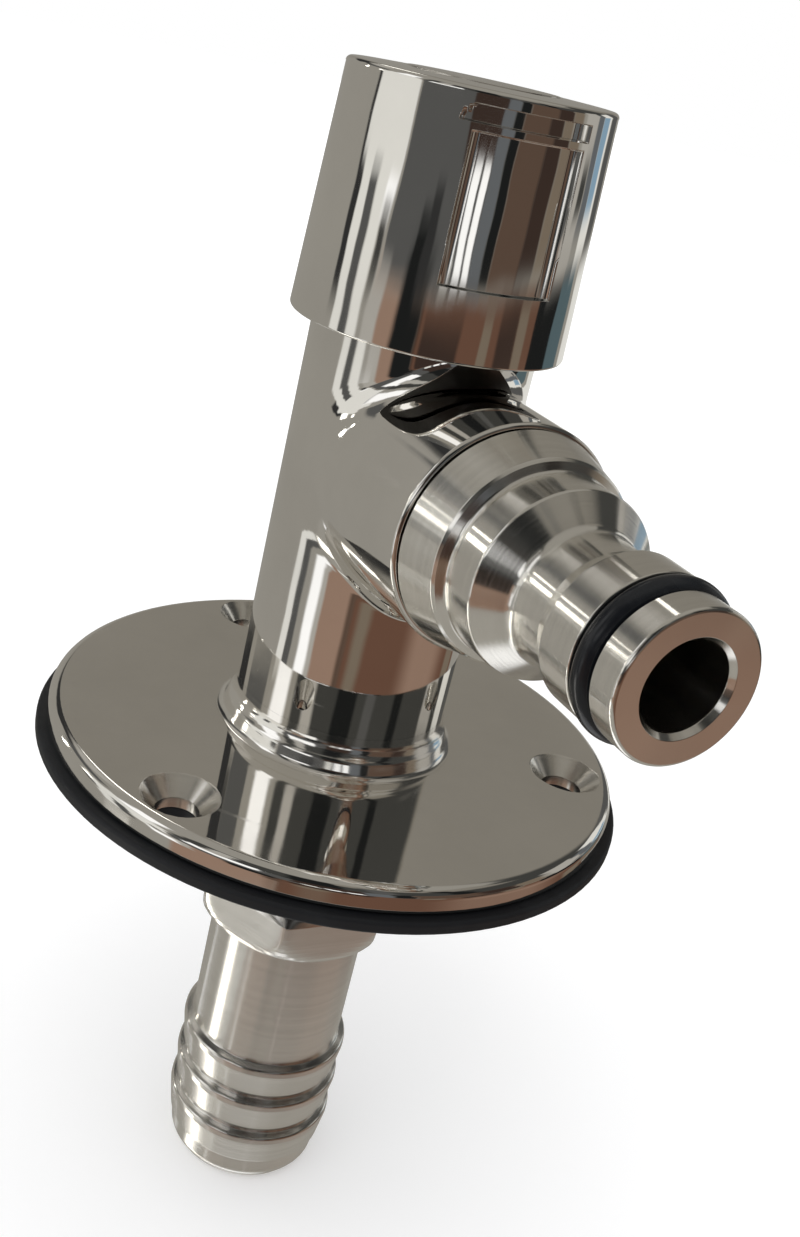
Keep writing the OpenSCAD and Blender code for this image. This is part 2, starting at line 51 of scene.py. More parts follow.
# The photograph's size in pixels
PHOTO_HEIGHT = 1237
PHOTO_WIDTH = 800


def box_mm(name):
    low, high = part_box(name)
    return np.array(low) / MM, np.array(high) / MM


# Sizes that the frame gives
gasket_low, gasket_high = box_mm("deck_gasket")
flange_high = box_mm("flange_plate")[1]
body_low, body_high = box_mm("body")
boss_low, boss_high = box_mm("outlet_boss")
nozzle_low = box_mm("outlet_nozzle")[0]
ring_low, ring_high = box_mm("nose_oring")
knob_low, knob_high = box_mm("knob")
cap_low, cap_high = box_mm("knob_cap")
tail_low = box_mm("hose_tail")[0]
weld_high = box_mm("weld_bead")[1]

GASKET_R = gasket_high[0]
GASKET_TOP = gasket_high[2]
FLANGE_R = flange_high[0]
FLANGE_TOP = flange_high[2]
PIPE_R = body_high[0]
PIPE_TOP = body_high[2]
STUB_END = body_low[2]
STUB_R = PIPE_R - 0.5
BOSS_R = boss_high[0]
BOSS_END = -boss_low[1]
SPOUT_Z = (boss_low[2] + boss_high[2]) / 2
NOSE_END = -nozzle_low[1]
KNOB_R = knob_high[0]

# Radius of the thread bores and how deep they are drawn, and the rounding of an edge left sharp
THREAD_R = 10.5
THREAD_SEEN = 8
SHARP = 0.1
# Direction of the outlet, in degrees
OUTLET_AT = -90.0

# Points around a full turn of each kind of piece
SECTION_STEPS = 40
PLATE_STEPS = 120
RING_STEPS = 160
TAIL_STEPS = 200
WELD_STEPS = 240
NOZZLE_STEPS = 256
HEX_STEPS = 360

# Turns under this angle, in radians, count as straight
STRAIGHT = 1e-6
# Decimals to which points and normals agree where grids are joined
POINT_DIGITS = 3
NORMAL_DIGITS = 2


# Outlines

def outline(corners, closed=False, step=15):
    """Points and outward normals along (radius, height, rounding) corners. The solid is on the left.

    The points of a rounding are at most step degrees apart."""
    places = [np.array(corner[:2], float) for corner in corners]
    count = len(corners)
    points, normals = [], []
    for i, (place, corner) in enumerate(zip(places, corners)):
        before = place - places[i - 1]
        after = places[(i + 1) % count] - place
        if not closed and i == 0:
            before = after
        if not closed and i == count - 1:
            after = before
        before, after = before / np.hypot(*before), after / np.hypot(*after)
        normal = np.array((before[1], -before[0]))
        turn = math.atan2(before[0] * after[1] - before[1] * after[0], before @ after)
        rounding = corner[2] if len(corner) > 2 else 0
        if abs(turn) < STRAIGHT:
            points.append(place)
            normals.append(normal)
            continue
        side = math.copysign(1, turn)
        centre = place - before * rounding * math.tan(abs(turn) / 2) - side * normal * rounding
        parts = max(2, math.ceil(math.degrees(abs(turn)) / step)) if rounding else 1
        for k in range(parts + 1):
            cos, sin = math.cos(turn * k / parts), math.sin(turn * k / parts)
            facing = np.array((normal[0] * cos - normal[1] * sin, normal[0] * sin + normal[1] * cos))
            points.append(centre + side * facing * rounding)
            normals.append(facing)
    if closed:
        points.append(points[0])
        normals.append(normals[0])
    return np.array(points), np.array(normals)


def turned(points, normals, angles):
    """Points and normals of an outline turned about the Z axis, with a row for each of its points."""
    cos, sin = np.cos(np.radians(angles)), np.sin(np.radians(angles))
    flat = np.ones(len(angles))
    return [np.stack([np.outer(values[:, 0], cos), np.outer(values[:, 0], sin),
                      np.outer(values[:, 1], flat)], -1) for values in (points, normals)]


class Shell:
    """Collects grids of points with their normals and makes one smooth mesh of them."""

    def __init__(self, name):
        self.name = name
        self.points, self.normals, self.faces, self.slots = [], [], [], []
        self.count = 0

    def grid(self, points, normals, wrap=True, slot=0):
        rows, columns = points.shape[:2]
        index = np.arange(rows * columns).reshape(rows, columns) + self.count
        across = np.roll(index, -1, axis=1) if wrap else index[:, 1:]
        near = index if wrap else index[:, :-1]
        quads = np.stack([near[:-1], across[:-1], across[1:], near[1:]], -1).reshape(-1, 4)
        self.points.append(points.reshape(-1, 3))
        self.normals.append(normals.reshape(-1, 3))
        self.faces.append(quads)
        self.slots += [slot] * len(quads)
        self.count += rows * columns

    def outlet(self):
        """Turns what was made about the Z axis so that it lies along the outlet's axis."""
        for group, lift in ((self.points, SPOUT_Z), (self.normals, 0)):
            for i, values in enumerate(group):
                group[i] = np.stack([values[:, 0], -values[:, 2], values[:, 1] + lift], -1)

    def build(self, body, slot_name, materials, *nodes):
        points = np.concatenate(self.points)
        normals = np.concatenate(self.normals)
        near = [np.round(points, POINT_DIGITS), np.round(normals, NORMAL_DIGITS)]
        # Adding zero turns a negative zero into zero
        key = np.concatenate(near, axis=1) + 0.0
        _, first, inverse = np.unique(key, axis=0, return_index=True, return_inverse=True)
        inverse = inverse.reshape(-1)
        faces, slots = [], []
        for quad, slot in zip(inverse[np.concatenate(self.faces)].tolist(), self.slots):
            ring = list(dict.fromkeys(quad))
            if len(ring) > 2:
                faces.append(ring)
                slots.append(slot)
        mesh = bpy.data.meshes.new(self.name)
        mesh.from_pydata((points[first] * MM).tolist(), [], faces)
        for material in materials:
            mesh.materials.append(material)
        mesh.polygons.foreach_set("material_index", slots)
        mesh.shade_smooth()
        mesh.normals_split_custom_set_from_vertices(normals[first].tolist())
        piece = bpy.data.objects.new(self.name, mesh)
        bpy.context.collection.objects.link(piece)
        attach(piece, body)
        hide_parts(*nodes)


def circle(steps):
    """Directions around a full turn, in degrees."""
    return np.arange(steps) * 360 / steps


def ease(value, start, width):
    """Zero before start and one after start plus width, with a smooth rise between them."""
    share = np.clip((value - start) / width, 0, 1)
    return share * share * (3 - 2 * share)


# Materials

def srgb(red, green, blue):
    """Linear colour of an sRGB colour from 0 to 255, by the two formulas of that standard."""
    return tuple(((c / 255 + 0.055) / 1.055) ** 2.4 if c > 10 else c / 3294.6
                 for c in (red, green, blue)) + (1.0,)


def darker(colour, share):
    return tuple(c * share for c in colour[:3]) + (1.0,)


class Nodes:
    """A tree of shader nodes, in which each call adds one node or a few."""

    def __init__(self, tree):
        self.tree = tree

    def add(self, kind, settings=None, **values):
        node = self.tree.nodes.new("ShaderNode" + kind)
        for key, value in (settings or {}).items():
            setattr(node, key, value)
        self.fill(node, values)
        return node

    def fill(self, node, values):
        """Sets or links inputs, given by name with _ for a space, or by number as i0, i1 and so on."""
        for key, value in values.items():
            by_number = key[1:].isdigit()
            socket = node.inputs[int(key[1:]) if by_number else key.replace("_", " ")]
            if isinstance(value, bpy.types.NodeSocket):
                self.tree.links.new(value, socket)
            else:
                socket.default_value = value

    def math(self, operation, a, b):
        return self.add("Math", {"operation": operation}, i0=a, i1=b).outputs[0]

    def blend(self, factor, a, b):
        mix = self.add("Mix", {"data_type": "RGBA"}, Factor=factor, i6=a, i7=b)
        return mix.outputs[2]

    def seen(self):
        """One for camera, glossy and transmission rays, and zero for the others."""
        path = self.add("LightPath").outputs
        mirrored = self.math("MAXIMUM", path["Is Camera Ray"], path["Is Glossy Ray"])
        return self.math("MAXIMUM", mirrored, path["Is Transmission Ray"])


class Finish(Nodes):
    """A material made of nodes around one principled shader."""

    def __init__(self, name):
        self.material = bpy.data.materials.new(name)
        self.material.use_nodes = True
        super().__init__(self.material.node_tree)
        self.shader = self.tree.nodes["Principled BSDF"]
        self.place = self.add("TexCoord").outputs["Object"]

    def set(self, **values):
        self.fill(self.shader, values)

    def noise(self, scale, detail, rough=0.5, vector=None):
        return self.add("TexNoise", Vector=vector or self.place, Scale=scale, Detail=detail,
                        Roughness=rough).outputs["Fac"]

    def spread(self, value, low, high, new_low, new_high):
        """Value moved from the first range to the second."""
        return self.add("MapRange", Value=value, From_Min=low, From_Max=high, To_Min=new_low,
                        To_Max=new_high).outputs["Result"]

    def bump(self, height, distance, strength=1.0, under=None):
        node = self.add("Bump", Height=height, Distance=distance, Strength=strength)
        if under:
            self.tree.links.new(under, node.inputs["Normal"])
        return node.outputs["Normal"]

    def lines(self, axis, pitch):
        """Noise that changes only along one axis, as the lines left by turning do."""
        part = self.add("SeparateXYZ", Vector=self.place).outputs[axis]
        return self.add("TexNoise", {"noise_dimensions": "1D"}, W=part, Scale=1 / (pitch * MM),
                        Detail=2.0, Roughness=0.6).outputs["Fac"]


# Share of the colour that stays in smudges, turned rings and cloudy patches
SMUDGE_SHADE = 0.93
RING_SHADE = 0.95
CLOUD_SHADE = 0.82
# What worn edges, wipe marks, smudges and grain add to the roughness at most
EDGE_WEAR = 0.10
WIPE_WEAR = 0.05
SMUDGE_WEAR = 0.04
GRAIN_WEAR = 0.08
# Wipe marks are long, coarse rings are this much wider, and the sheen lies across the rings
WIPE_SQUEEZE = 0.12
COARSE_RINGS = 5
QUARTER_TURN = 0.25


def polished_steel(name, colour, low, high, ripple=1.0):
    """Mirror polished steel with smudges, faint wipe marks and the slight ripple of hand polishing.

    Its roughness runs from low to high, as in the finishes below."""
    finish = Finish(name)
    smudge = finish.noise(scale=55, detail=5.0, rough=0.6)
    wipe = finish.add("Mapping", Vector=finish.place, Scale=(1, 1, WIPE_SQUEEZE)).outputs[0]
    marks = finish.noise(scale=1400, detail=3.0, rough=0.7, vector=wipe)
    dull = finish.spread(smudge, 0.42, 0.68, low, high)
    edge = finish.add("NewGeometry").outputs["Pointiness"]
    worn = finish.spread(edge, 0.53, 0.62, 0.0, EDGE_WEAR)
    wiped = finish.spread(marks, 0.62, 0.8, 0.0, WIPE_WEAR)
    rough = finish.math("ADD", finish.math("ADD", dull, worn), wiped)
    smudged = finish.spread(smudge, 0.35, 0.7, 0.0, 1.0)
    tint = finish.blend(smudged, colour, darker(colour, SMUDGE_SHADE))
    wave = finish.bump(finish.noise(scale=130, detail=1.0), distance=0.00004 * ripple)
    finish.set(Base_Color=tint, Metallic=1.0, Roughness=rough,
               Normal=finish.bump(marks, distance=0.000002, strength=0.5, under=wave))
    return finish.material


def turned_steel(name, axis, colour, low, high, pitch, stretch):
    """Steel straight from the lathe: fine rings, satin sheen stretched across them, and a few marks.

    The pitch of the rings is in millimetres."""
    finish = Finish(name)
    rings = finish.lines(axis, pitch)
    coarse = finish.lines(axis, pitch * COARSE_RINGS)
    smudge = finish.noise(scale=90, detail=4.0, rough=0.6)
    rough = finish.math("ADD", finish.spread(rings, 0.3, 0.7, low, high),
                        finish.spread(smudge, 0.4, 0.7, 0.0, SMUDGE_WEAR))
    tint = finish.blend(finish.spread(coarse, 0.3, 0.7, 0.0, 1.0), colour, darker(colour, RING_SHADE))
    cut = finish.bump(rings, distance=0.0000015, strength=0.5)
    finish.set(Base_Color=tint, Metallic=1.0, Roughness=rough, Anisotropic=stretch,
               Anisotropic_Rotation=QUARTER_TURN,
               Normal=finish.bump(smudge, distance=0.00002, strength=0.5, under=cut))
    tangent = finish.add("Tangent", {"direction_type": "RADIAL", "axis": axis})
    finish.set(Tangent=tangent.outputs[0])
    return finish.material


def rubber(name, colour, low, high):
    """Moulded rubber with a fine grain and a few paler dusty patches."""
    finish = Finish(name)
    grain = finish.noise(scale=2600, detail=3.0, rough=0.6)
    dust = finish.noise(scale=70, detail=5.0, rough=0.65)
    tint = finish.blend(finish.spread(dust, 0.5, 0.8, 0.0, 0.5), colour, srgb(52, 55, 58))
    finish.set(Base_Color=tint, Roughness=finish.spread(dust, 0.35, 0.7, low, high),
               Specular_IOR_Level=0.4, Normal=finish.bump(grain, distance=0.00003, strength=0.35))
    return finish.material


def machined(name, colour, rough, metallic, grain):
    """Plain machined or moulded inner part with a fine grain and colour variation."""
    finish = Finish(name)
    cloud = finish.noise(scale=120, detail=4.0)
    fine = finish.noise(scale=grain, detail=3.0)
    tint = finish.blend(cloud, colour, darker(colour, CLOUD_SHADE))
    sheen = finish.spread(fine, 0.3, 0.7, rough - GRAIN_WEAR, rough + GRAIN_WEAR)
    finish.set(Base_Color=tint, Metallic=metallic, Roughness=sheen,
               Normal=finish.bump(fine, distance=0.00001, strength=0.4))
    return finish.material


steel = srgb(247, 245, 241)
pipe_steel = polished_steel("polished_pipe", steel, 0.02, 0.09)
flange_steel = polished_steel("polished_flange", steel, 0.03, 0.10, ripple=0.5)
weld_steel = polished_steel("weld_metal", steel, 0.08, 0.18, ripple=2.0)
knob_steel = polished_steel("polished_knob", steel, 0.02, 0.07)
cap_steel = polished_steel("knob_cap_metal", srgb(238, 235, 230), 0.10, 0.20, ripple=0.5)
nozzle_steel = turned_steel("turned_nozzle", "Y", srgb(248, 246, 241), 0.11, 0.15, pitch=0.16,
                            stretch=1.0)
tail_steel = turned_steel("turned_tail", "Z", srgb(250, 248, 244), 0.15, 0.20, pitch=0.2,
                          stretch=0.95)
# Rough steel for the knob's underside: the roughness is the part's own, but its dark colour is painted
# shade, so that the polished saddle below mirrors it nearly black
rough_painted_shade_steel = machined("rough_painted_shade_steel", srgb(58, 57, 56), rough=0.5, metallic=1.0, grain=600)
sink_steel = turned_steel("turned_countersink", "Z", srgb(240, 237, 231), 0.18, 0.24, pitch=0.35,
                          stretch=0.4)
gasket_rubber = rubber("gasket_rubber", srgb(24, 26, 30), 0.50, 0.70)
ring_rubber = rubber("oring_rubber", srgb(18, 20, 24), 0.18, 0.30)


# Pipe and outlet boss, made as one surface with the polished fillet between them

# The fillet's radius where the walls stand square, how much it grows where they run alike,
# and the height at which the part of the pipe that it may reach begins
FILLET = 3.0
FILLET_GROWTH = 5
NEARLY_ALIKE = 0.999
BLEND_LOW = SPOUT_Z - 20
# Degrees between the mesh's columns, and how far the front reaches from the outlet to each side
COLUMN = 3
FRONT = 108
# Levels of the mesh, rounds in which its points settle on the surface, and reach of a slope
WALL_LEVELS = 21
SETTLE_ROUNDS = 14
SLOPE_REACH = 0.01
# Rows from the border to the boss's foot, closer together at the foot, and from there to its end
FOOT_ROWS = 17
CLOSER_AT_END = 0.6
BOSS_ROWS = 15
CLOSER_AT_START = 1.5
# How deep the stub's bore is drawn
STUB_BORE_SEEN = 10
# Rounded edges: the boss's end, the upper mouth and the boss's, the stub's mouth, and the stub
BOSS_ROUND = 0.5
MOUTH_EDGE = 0.3
STUB_MOUTH_EDGE = 0.4
STUB_EDGE = 0.6


def near_pipe(points):
    """Distance from the pipe and boss, zero on their surface and on the fillet between them."""
    x, y, z = points[:, 0], points[:, 1], points[:, 2] - SPOUT_Z
    behind = np.maximum(y, 0)
    from_axis = np.hypot(x, y)
    from_outlet = np.sqrt(x * x + z * z + behind * behind)
    pipe, boss = from_axis - PIPE_R, from_outlet - BOSS_R
    cosine = (x * x + y * behind) / (from_axis * from_outlet)
    cosine = np.clip(cosine, -NEARLY_ALIKE, NEARLY_ALIKE)
    radius = FILLET * (1 + FILLET_GROWTH * cosine ** 4)
    u, v = np.maximum(radius - pipe, 0), np.maximum(radius - boss, 0)
    arc = radius - np.sqrt((u * u + v * v - 2 * cosine * u * v) / (1 - cosine ** 2))
    return np.where((v > cosine * u) & (u > cosine * v), arc, np.minimum(pipe, boss))


def slope(points):
    steps = np.eye(3) * SLOPE_REACH
    rise = [near_pipe(points + step) - near_pipe(points - step) for step in steps]
    return np.stack(rise, -1) / (2 * SLOPE_REACH)


def settle(points):
    """Moves points onto the surface of pipe and boss and gives their normals."""
    for _ in range(SETTLE_ROUNDS):
        gradient = slope(points)
        points = points - gradient * (near_pipe(points) / (gradient ** 2).sum(1))[:, None]
    gradient = slope(points)
    return points, gradient / np.linalg.norm(gradient, axis=1)[:, None]


def blend_border():
    """Angles and heights around the part of the pipe that the fillet may reach, against the clock."""
    across = np.arange(-FRONT, FRONT, COLUMN)
    up = np.linspace(BLEND_LOW, PIPE_TOP, WALL_LEVELS)[:-1]
    low, high = np.full(len(across), BLEND_LOW), np.full(len(across), PIPE_TOP)
    left, right = np.full(len(up), -FRONT), np.full(len(up), FRONT)
    down = np.linspace(PIPE_TOP, BLEND_LOW, WALL_LEVELS)[:-1]
    angles = np.concatenate([across, right, -across, left]) + OUTLET_AT
    return angles, np.concatenate([low, up, high, down])


def on_pipe(angles, heights):
    turn = np.radians(angles)
    return np.stack([PIPE_R * np.cos(turn), PIPE_R * np.sin(turn), heights], -1)


def front_of_pipe(shell):
    """Front of the pipe, the fillet, and the boss to its mouth, as one grid from the border inwards."""
    angles, heights = blend_border()
    around = np.arctan2(heights - SPOUT_Z, PIPE_R * np.radians(angles - OUTLET_AT))
    cos, sin = np.cos(around), np.sin(around)
    foot_x, foot_z = BOSS_R * cos, BOSS_R * sin
    foot_y = -np.sqrt(PIPE_R ** 2 - foot_x ** 2)
    foot_angle = np.degrees(np.arctan2(foot_y, foot_x))
    foot_angle = np.where(foot_angle > OUTLET_AT + 180, foot_angle - 360, foot_angle)
    border = on_pipe(angles, heights)
    rows, facing = [border], [border * (1, 1, 0) / PIPE_R]
    starts = [on_pipe(angles + (foot_angle - angles) * share,
                      heights + (foot_z + SPOUT_Z - heights) * share)
              for share in np.linspace(0, 1, FOOT_ROWS)[1:] ** CLOSER_AT_END]
    length = -(BOSS_END - BOSS_ROUND) - foot_y
    starts += [np.stack([foot_x, foot_y + length * share, foot_z + SPOUT_Z], -1)
               for share in np.linspace(0, 1, BOSS_ROWS)[1:-1] ** CLOSER_AT_START]
    for start in starts:
        row, normal = settle(start)
        rows.append(row)
        facing.append(normal)
    rim, rim_normals = outline([(BOSS_R, 0), (BOSS_R, BOSS_END, BOSS_ROUND),
                                (THREAD_R, BOSS_END, MOUTH_EDGE), (THREAD_R, BOSS_END - THREAD_SEEN)])
    flat = np.ones(len(around))
    for (r, out), (side, ahead) in zip(rim[1:], rim_normals[1:]):
        rows.append(np.stack([r * cos, -out * flat, SPOUT_Z + r * sin], -1))
        facing.append(np.stack([side * cos, -ahead * flat, side * sin], -1))
    shell.grid(np.array(rows), np.array(facing))


def stand_pipe():
    shell = Shell("stand_pipe")
    front_of_pipe(shell)
    back = np.arange(FRONT, 360 - FRONT + 1, COLUMN) + OUTLET_AT
    levels = np.linspace(BLEND_LOW, PIPE_TOP, WALL_LEVELS)
    wall = np.stack([np.full(WALL_LEVELS, PIPE_R), levels], -1)
    shell.grid(*turned(wall, np.tile((1.0, 0.0), (WALL_LEVELS, 1)), back), wrap=False)
    ring = circle(360 // COLUMN) + OUTLET_AT - FRONT
    stub = [(THREAD_R, STUB_END + STUB_BORE_SEEN), (THREAD_R, STUB_END, STUB_MOUTH_EDGE),
            (STUB_R, STUB_END, STUB_EDGE), (STUB_R, GASKET_TOP, SHARP),
            (PIPE_R, GASKET_TOP, SHARP), (PIPE_R, BLEND_LOW)]
    mouth = [(PIPE_R, PIPE_TOP), (THREAD_R, PIPE_TOP, MOUTH_EDGE), (THREAD_R, PIPE_TOP - THREAD_SEEN)]
    shell.grid(*turned(*outline(stub), ring))
    shell.grid(*turned(*outline(mouth), ring))
    shell.build("stand", "polished_pipe", [pipe_steel], "body", "outlet_boss")


# Flange and gasket, flat plates with three screw holes

HOLE_COUNT = 3
FIRST_HOLE_AT = 90
HOLE_FROM_EDGE = 6.2
HOLE_AT = FLANGE_R - HOLE_FROM_EDGE
HOLE_R = 2.6
SINK_DEPTH = 2.1
# Points along a sector's side, ends included, and rows between a hole and its sector's border
SIDE_POINTS = 13
FACE_ROWS = 7


def sector_border(sector, r_in, r_out):
    """Points round a sector between two radii: outer arc, far side, inner arc and near side."""
    arc = np.stack([np.cos(sector), np.sin(sector)], -1)
    inward = r_out + (r_in - r_out) * np.linspace(0, 1, SIDE_POINTS)[1:-1]
    return np.concatenate([arc * r_out, np.outer(inward, arc[-1]),
                           arc[::-1] * r_in, np.outer(inward[::-1], arc[0])])


def plate(name, edge, inner, hole, high, low, materials, slot_name, node):
    """Plate between two heights: edge and inner are its outlines, and hole is that of each screw hole.

    An outline ends in a hem where the plate is flat: a narrow ring from which the face goes on."""
    shell = Shell(name)
    edge_points, edge_normals = outline(edge)
    inner_points, inner_normals = outline(inner)
    wall, wall_normals = outline(hole)
    shell.grid(*turned(edge_points, edge_normals, circle(PLATE_STEPS) + FIRST_HOLE_AT))
    shell.grid(*turned(inner_points, inner_normals, circle(PLATE_STEPS) + FIRST_HOLE_AT))
    top_face = (inner_points[0][0], edge_points[-1][0], wall[0][0], high, 1)
    low_face = (inner_points[-1][0], edge_points[0][0], wall[-1][0], low, -1)
    half = 180 // HOLE_COUNT
    spread = np.arange(-half, half + 1, 360 // PLATE_STEPS)
    for index in range(HOLE_COUNT):
        middle = math.radians(FIRST_HOLE_AT + index * 360 / HOLE_COUNT)
        centre = np.array((math.cos(middle), math.sin(middle))) * HOLE_AT
        directions = []
        for r_in, r_out, rim_r, height, up in (top_face, low_face):
            around = sector_border(np.radians(spread) + middle, r_in, r_out)
            turn = np.arctan2(*(around - centre).T[::-1])
            directions.append(turn)
            ring = centre + rim_r * np.stack([np.cos(turn), np.sin(turn)], -1)
            rows = [ring + (around - ring) * share for share in np.linspace(0, 1, FACE_ROWS)][::-up]
            grid = np.array([np.column_stack([row, np.full(len(row), height)]) for row in rows])
            shell.grid(grid, np.broadcast_to((0, 0, up), grid.shape).astype(float))
        # The wall of the hole has its points in the directions of the top face
        grid, facing = turned(wall, wall_normals, np.degrees(directions[0]))
        shell.grid(grid + (*centre, 0), facing, slot=len(materials) - 1)
    shell.build("stand", slot_name, materials, node)


def flange():
    top, low = FLANGE_TOP, GASKET_TOP
    low_round, top_round, flat_from, under = 0.8, 1.4, 1.41, 2.5
    hem, sink_hem, hole_hem, sink_round = 0.6, 0.09, 0.4, 0.2
    inner_r = PIPE_R + 0.05
    sink_r = HOLE_R + SINK_DEPTH
    edge = [(FLANGE_R - under, low), (FLANGE_R, low, low_round), (FLANGE_R, top, top_round),
            (FLANGE_R - flat_from, top)]
    inner = [(inner_r + hem, top), (inner_r, top), (inner_r, low), (inner_r + hem, low)]
    hole = [(sink_r + sink_hem, top), (sink_r, top, sink_round), (HOLE_R, top - SINK_DEPTH, SHARP),
            (HOLE_R, low), (HOLE_R + hole_hem, low)]
    plate("flange", edge, inner, hole, top, low, [flange_steel, sink_steel], "polished_flange",
          "flange_plate")


def gasket():
    top, low = GASKET_TOP, gasket_low[2]
    low_round, top_round, hole_round = 0.4, 0.5, 0.2
    under, hem, hole_hem = 1.2, 0.6, 0.5
    inner_r = STUB_R + 0.5
    edge = [(GASKET_R - under, low), (GASKET_R, low, low_round), (GASKET_R, top, top_round),
            (GASKET_R - under, top)]
    inner = [(inner_r + hem, top), (inner_r, top, hole_round), (inner_r, low, hole_round),
             (inner_r + hem, low)]
    hole = [(HOLE_R + hole_hem, top), (HOLE_R, top, hole_round), (HOLE_R, low, hole_round),
            (HOLE_R + hole_hem, low)]
    plate("gasket", edge, inner, hole, top, low, [gasket_rubber], "gasket_rubber", "deck_gasket")


# Waves round the weld: height in millimetres, count round the pipe, and phase
LUMPS = ((0.10, 3, 0.6), (0.07, 7, 2.0), (0.04, 16, 0.0))


def weld():
    """Hand polished bead at the foot of the pipe, slightly uneven round the pipe."""
    foot, shoulder = weld_high[0], weld_high[0] - 1.3
    shoulder_z, neck_z, end_z = FLANGE_TOP + 1.9, FLANGE_TOP + 2.9, FLANGE_TOP + 4.8
    on_wall = PIPE_R + 0.01
    profile = outline([(foot, FLANGE_TOP + 0.01), (foot - 0.8, FLANGE_TOP + 0.03, 1.0),
                       (shoulder, shoulder_z, 1.3), (on_wall, neck_z, 2.8), (on_wall, end_z)], step=4)
    grid, facing = turned(*profile, circle(WELD_STEPS))
    turn = np.radians(circle(WELD_STEPS))
    lump = sum(height * np.sin(count * turn + phase) for height, count, phase in LUMPS)
    grown = np.clip((np.hypot(grid[..., 0], grid[..., 1]) - PIPE_R) / (foot - PIPE_R), 0, 1)
    grid[..., 0] += lump * grown * np.cos(turn)
    grid[..., 1] += lump * grown * np.sin(turn)
    shell = Shell("weld")
    shell.grid(grid, facing)
    shell.build("stand", "weld_metal", [weld_steel], "weld_bead")


# Outlet nozzle, heights are distances from the pipe's axis

JOINT_LINE = 0.3
NECK_R = 7.4
LAND_R = 8.45
GROOVE_R = 6.2
NOSE_R = 8.0
NOSE_FACE_R = 5.2
BORE_R = 4.7


def nozzle():
    start = BOSS_END + JOINT_LINE
    thread_r, thread_end = THREAD_R - 0.05, BOSS_END - 9
    collar_r, step_r, recess_r, shoulder_r = 11.8, 11.5, 10.45, 10.6
    collar_end, step_end, recess = start + 5.3, start + 5.6, start + 6.1
    shoulder, shoulder_end = start + 6.9, start + 10.8
    neck, neck_end, land = start + 13.6, start + 18.5, start + 20.5
    groove, groove_end = start + 25.3, start + 28.1
    groove_round = 0.15
    corners = [
        (thread_r, thread_end), (thread_r, start), (BOSS_R - 0.5, start, 0.12),
        (collar_r, collar_end, 0.25), (step_r, step_end, 0.15), (recess_r, recess, 0.5),
        (shoulder_r, shoulder, 0.2), (shoulder_r, shoulder_end, 0.5),
        (NECK_R, neck, 1.6), (NECK_R, neck_end, 0.5), (LAND_R, land, 0.6), (LAND_R, groove, 0.2),
        (GROOVE_R, groove, groove_round), (GROOVE_R, groove_end, groove_round),
        (NOSE_R, groove_end, groove_round), (NOSE_R, NOSE_END, 0.45), (NOSE_FACE_R, NOSE_END, SHARP),
        (BORE_R, NOSE_END - 0.6, 0.2), (BORE_R, thread_end)]
    shell = Shell("nozzle")
    shell.grid(*turned(*outline(corners, closed=True, step=12), circle(NOZZLE_STEPS)))
    shell.outlet()
    shell.build("stand", "turned_nozzle", [nozzle_steel], "outlet_nozzle")


def nose_ring():
    middle = -(ring_low[1] + ring_high[1]) / 2
    section = (ring_high[1] - ring_low[1]) / 2
    mid_r = ring_high[0] - section
    angle = np.radians(circle(SECTION_STEPS))
    ring = np.stack([np.cos(angle), np.sin(angle)], -1)
    profile = np.concatenate([ring, ring[:1]])
    shell = Shell("nose_ring")
    shell.grid(*turned(profile * section + (mid_r, middle), profile, circle(RING_STEPS)))
    shell.outlet()
    shell.build("stand", "oring_rubber", [ring_rubber], "nose_oring")


# Hose tail

# The hexagon's heights and half its width across the flats
HEX_TOP = STUB_END - 1
HEX_LOW = HEX_TOP - 8.3
HEX_FLAT = 11.9
HEX_CORNER = HEX_FLAT / math.cos(math.radians(30))
# Height of the hexagon's domed underside, and the width and height of its upper bevel
HEX_DOME = 4.6
HEX_BEVEL = 1.9
HEX_BEVEL_HIGH = 2.0
# Width over which the hexagon's edges are rounded, and over which its faces cut the turned shape
HEX_SOFT = 0.14
CUT_SOFT = 0.25
# Keeps directions away from a face out of its reach
LEAST_COSINE = 0.05
TAIL_BORE_R = 7.5
TAIL_EDGE = 0.4
STEM_R = 10.5
LEAD_BEVEL = 1.2
# The barbs: their count, radius and spacing, and the height of the highest crest
BARB_COUNT = 3
BARB_R = 11.6
BARB_PITCH = 5.9
BARB_FIRST = HEX_LOW - 19.4


def hexagon(angles):
    """Radius of a hexagon with slightly rounded edges, in each direction."""
    faces = np.radians(np.arange(6) * 60 + 30)
    cosine = np.cos(np.radians(angles)[:, None] - faces)
    reach = HEX_FLAT / np.maximum(cosine, LEAST_COSINE)
    nearest = reach.min(1)
    return nearest - HEX_SOFT * np.log(np.exp(-(reach - nearest[:, None]) / HEX_SOFT).sum(1))


